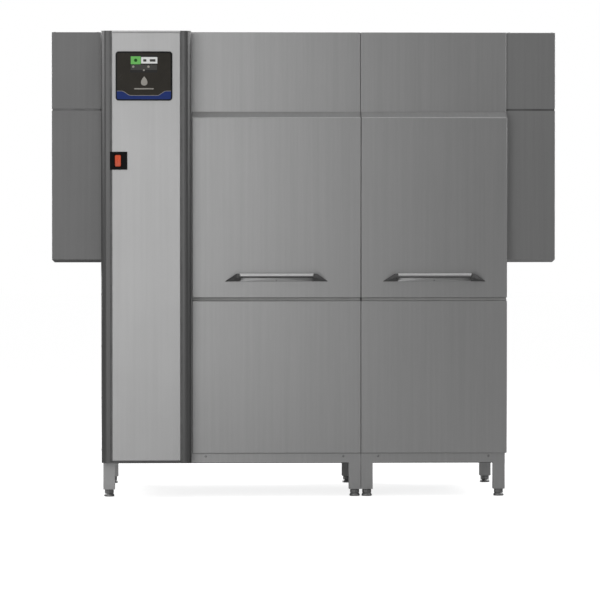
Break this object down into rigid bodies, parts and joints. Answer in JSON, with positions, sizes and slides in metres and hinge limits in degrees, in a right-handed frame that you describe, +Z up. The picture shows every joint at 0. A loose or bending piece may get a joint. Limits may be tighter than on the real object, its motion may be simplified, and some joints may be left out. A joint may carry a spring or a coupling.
{
  "type": "commercial dishwasher",
  "caption": "Stainless rack-conveyor dishwasher with a control column, two lifting doors, splash cowls at both ends and adjustable feet.",
  "frame": {"origin": "middle of the footprint at floor level", "axes": "+Z up, the front with the doors faces -Y, +X towards the entry end on the right"},
  "size_m": [1.94, 0.88, 1.785],
  "materials": {
    "steel": "vertically brushed stainless sheet",
    "column_panel": "light satin stainless sheet",
    "column_profile": "dark satin profile",
    "handle_steel": "satin stainless tube",
    "bracket_plastic": "dark grey moulded plastic",
    "inner_steel": "plain stainless sheet and tube",
    "electrical_parts": "light grey switchgear on a plate",
    "display_gloss": "dark glossy fascia with a blue band",
    "switch_black": "black moulded plastic",
    "rocker_red": "lit red-orange translucent plastic",
    "curtain_rubber": "dark flexible rubber",
    "motor_paint": "dark blue-grey paint",
    "weight_iron": "plain bar",
    "foot_plastic": "dark grey plastic"
  },
  "bodies": {
    "cabinet": {"base_frame_wash": "steel", "base_frame_prewash": "steel", "lower_front_panel_wash": "steel", "lower_front_panel_prewash": "steel", "rear_panel_wash": "steel", "rear_panel_prewash": "steel", "end_panel_left": "steel", "end_panel_right": "steel", "hood_wash": "steel", "hood_prewash": "steel", "cowl_upper_exit": "steel", "cowl_upper_entry": "steel", "cowl_lower_exit": "steel", "cowl_lower_entry": "steel", "door_post_wash_left": "steel", "door_post_wash_right": "steel", "door_post_prewash_left": "steel", "door_post_prewash_right": "steel", "column_front_panel": "column_panel", "column_housing": "column_profile", "wash_tank": "inner_steel", "prewash_tank": "inner_steel", "conveyor_rail_front": "inner_steel", "conveyor_rail_rear": "inner_steel", "wash_arm_lower": "inner_steel", "wash_arm_upper": "inner_steel", "prewash_arm_lower": "inner_steel", "prewash_arm_upper": "inner_steel", "rinse_arm_lower": "inner_steel", "rinse_arm_upper": "inner_steel", "boiler": "inner_steel", "connection_plate": "inner_steel", "electrical_plate": "electrical_parts", "control_display": "display_gloss", "switch_housing": "switch_black", "wash_pump": "motor_paint", "prewash_pump": "motor_paint", "drive_gearmotor": "motor_paint"},
    "door_wash": {"door_wash": "steel", "handle_bar_wash": "handle_steel", "handle_bracket_wash_left": "bracket_plastic", "handle_bracket_wash_right": "bracket_plastic"},
    "door_prewash": {"door_prewash": "steel", "handle_bar_prewash": "handle_steel", "handle_bracket_prewash_left": "bracket_plastic", "handle_bracket_prewash_right": "bracket_plastic"},
    "counterweight_wash": {"counterweight_wash": "weight_iron"},
    "counterweight_prewash": {"counterweight_prewash": "weight_iron"},
    "main_switch": {"switch_rocker": "rocker_red"},
    "carriage": {"transport_carriage": "inner_steel"},
    "curtain_exit": {"curtain_exit": "curtain_rubber"},
    "curtain_entry": {"curtain_entry": "curtain_rubber"},
    "foot_wash_front_left": {"foot_wash_front_left": "foot_plastic"},
    "foot_wash_front_right": {"foot_wash_front_right": "foot_plastic"},
    "foot_wash_rear_left": {"foot_wash_rear_left": "foot_plastic"},
    "foot_wash_rear_right": {"foot_wash_rear_right": "foot_plastic"},
    "foot_prewash_front_left": {"foot_prewash_front_left": "foot_plastic"},
    "foot_prewash_front_right": {"foot_prewash_front_right": "foot_plastic"},
    "foot_prewash_rear_left": {"foot_prewash_rear_left": "foot_plastic"},
    "foot_prewash_rear_right": {"foot_prewash_rear_right": "foot_plastic"}
  },
  "joints": [
    {"name": "door_wash_lift", "type": "slide", "parent": "cabinet", "child": "door_wash", "axis": [0, 0, 1], "range_m": [0, 0.5]},
    {"name": "counterweight_wash_drop", "type": "slide", "parent": "cabinet", "child": "counterweight_wash", "axis": [0, 0, 1], "range_m": [-0.5, 0]},
    {"name": "door_prewash_lift", "type": "slide", "parent": "cabinet", "child": "door_prewash", "axis": [0, 0, 1], "range_m": [0, 0.5]},
    {"name": "counterweight_prewash_drop", "type": "slide", "parent": "cabinet", "child": "counterweight_prewash", "axis": [0, 0, 1], "range_m": [-0.5, 0]},
    {"name": "main_switch_tilt", "type": "hinge", "parent": "cabinet", "child": "main_switch", "pos_m": [-0.7136, -0.4296, 1.29], "axis": [1, 0, 0], "range_deg": [-20, 0]},
    {"name": "carriage_stroke", "type": "slide", "parent": "cabinet", "child": "carriage", "axis": [-1, 0, 0], "range_m": [0, 0.1]},
    {"name": "curtain_exit_swing", "type": "hinge", "parent": "cabinet", "child": "curtain_exit", "pos_m": [-0.738, 0.045, 1.325], "axis": [0, 1, 0], "range_deg": [-60, 60]},
    {"name": "curtain_entry_swing", "type": "hinge", "parent": "cabinet", "child": "curtain_entry", "pos_m": [0.738, 0.045, 1.325], "axis": [0, 1, 0], "range_deg": [-60, 60]},
    {"name": "foot_wash_front_left_height", "type": "slide", "parent": "cabinet", "child": "foot_wash_front_left", "axis": [0, 0, 1], "range_m": [-0.03, 0]},
    {"name": "foot_wash_front_right_height", "type": "slide", "parent": "cabinet", "child": "foot_wash_front_right", "axis": [0, 0, 1], "range_m": [-0.03, 0]},
    {"name": "foot_wash_rear_left_height", "type": "slide", "parent": "cabinet", "child": "foot_wash_rear_left", "axis": [0, 0, 1], "range_m": [-0.03, 0]},
    {"name": "foot_wash_rear_right_height", "type": "slide", "parent": "cabinet", "child": "foot_wash_rear_right", "axis": [0, 0, 1], "range_m": [-0.03, 0]},
    {"name": "foot_prewash_front_left_height", "type": "slide", "parent": "cabinet", "child": "foot_prewash_front_left", "axis": [0, 0, 1], "range_m": [-0.03, 0]},
    {"name": "foot_prewash_front_right_height", "type": "slide", "parent": "cabinet", "child": "foot_prewash_front_right", "axis": [0, 0, 1], "range_m": [-0.03, 0]},
    {"name": "foot_prewash_rear_left_height", "type": "slide", "parent": "cabinet", "child": "foot_prewash_rear_left", "axis": [0, 0, 1], "range_m": [-0.03, 0]},
    {"name": "foot_prewash_rear_right_height", "type": "slide", "parent": "cabinet", "child": "foot_prewash_rear_right", "axis": [0, 0, 1], "range_m": [-0.03, 0]}
  ],
  "couplings": [
    {"joint": "counterweight_wash_drop", "follows": "door_wash_lift", "ratio": -1},
    {"joint": "counterweight_prewash_drop", "follows": "door_prewash_lift", "ratio": -1}
  ]
}
